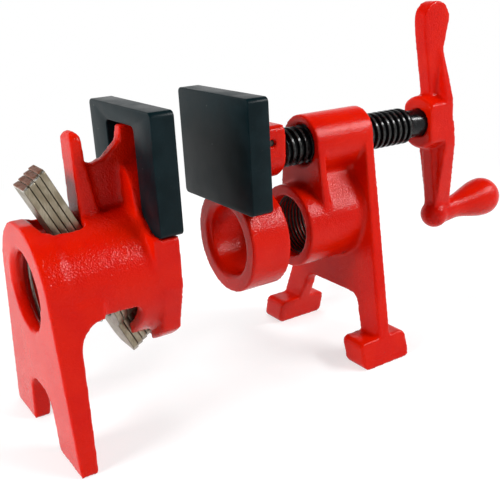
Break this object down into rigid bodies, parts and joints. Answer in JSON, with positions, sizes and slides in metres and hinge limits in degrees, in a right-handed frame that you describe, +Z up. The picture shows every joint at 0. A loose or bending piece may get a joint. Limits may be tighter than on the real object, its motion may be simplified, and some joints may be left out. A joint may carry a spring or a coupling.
{
  "type": "pipe clamp",
  "caption": "Woodworking pipe clamp fixture: cast screw head with crank and sliding padded jaw, and a sliding tail stop with a spring clutch, for a threaded steel pipe.",
  "frame": {"origin": "mouth of the head's pipe bore, on the pipe axis", "axes": "+X along the pipe axis from the tail stop towards the crank, +Z up from the bench the feet stand on, +Y to the left seen from the crank end"},
  "size_m": [0.2399, 0.075, 0.1428],
  "materials": {
    "red_paint": "gloss paint over cast iron",
    "pad_plastic": "satin moulded plastic",
    "black_screw": "black oxide",
    "plate_steel": "stamped steel",
    "spring_steel": "drawn wire"
  },
  "bodies": {
    "head": {"head_casting": "red_paint"},
    "jaw": {"sliding_jaw": "red_paint", "jaw_pad": "pad_plastic", "jaw_pin": "spring_steel"},
    "screw": {"spindle": "black_screw", "crank_handle": "red_paint"},
    "tail": {"tail_casting": "red_paint", "tail_pad": "pad_plastic", "clutch_spring": "spring_steel"},
    "clutch_1": {"clutch_plate_1": "plate_steel"},
    "clutch_2": {"clutch_plate_2": "plate_steel"},
    "clutch_3": {"clutch_plate_3": "plate_steel"},
    "clutch_4": {"clutch_plate_4": "plate_steel"}
  },
  "joints": [
    {"name": "jaw_slide", "type": "slide", "parent": "head", "child": "jaw", "axis": [-1, 0, 0], "range_m": [-0.012, 0.028]},
    {"name": "crank_turn", "type": "hinge", "parent": "jaw", "child": "screw", "pos_m": [0.03, 0, 0.0333], "axis": [-1, 0, 0], "range_deg": [-1380, 3190]},
    {"name": "tail_slide", "type": "slide", "parent": "head", "child": "tail", "axis": [-1, 0, 0], "range_m": [0, 0.25]},
    {"name": "release_1", "type": "hinge", "parent": "tail", "child": "clutch_1", "pos_m": [-0.08643, 0, 0.02202], "axis": [0, 1, 0], "range_deg": [0, 25], "stiffness_Nm_per_rad": 0.4, "springref_deg": -17.19, "deforming": ["clutch_spring"]},
    {"name": "release_2", "type": "hinge", "parent": "tail", "child": "clutch_2", "pos_m": [-0.08767, 0, 0.02175], "axis": [0, 1, 0], "range_deg": [0, 25]},
    {"name": "release_3", "type": "hinge", "parent": "tail", "child": "clutch_3", "pos_m": [-0.08891, 0, 0.02148], "axis": [0, 1, 0], "range_deg": [0, 25]},
    {"name": "release_4", "type": "hinge", "parent": "tail", "child": "clutch_4", "pos_m": [-0.09015, 0, 0.0212], "axis": [0, 1, 0], "range_deg": [0, 25]}
  ],
  "couplings": [
    {"joint": "crank_turn", "follows": "jaw_slide", "rad_per_m": 1979},
    {"joint": "release_2", "follows": "release_1", "ratio": 1},
    {"joint": "release_3", "follows": "release_1", "ratio": 1},
    {"joint": "release_4", "follows": "release_1", "ratio": 1}
  ]
}
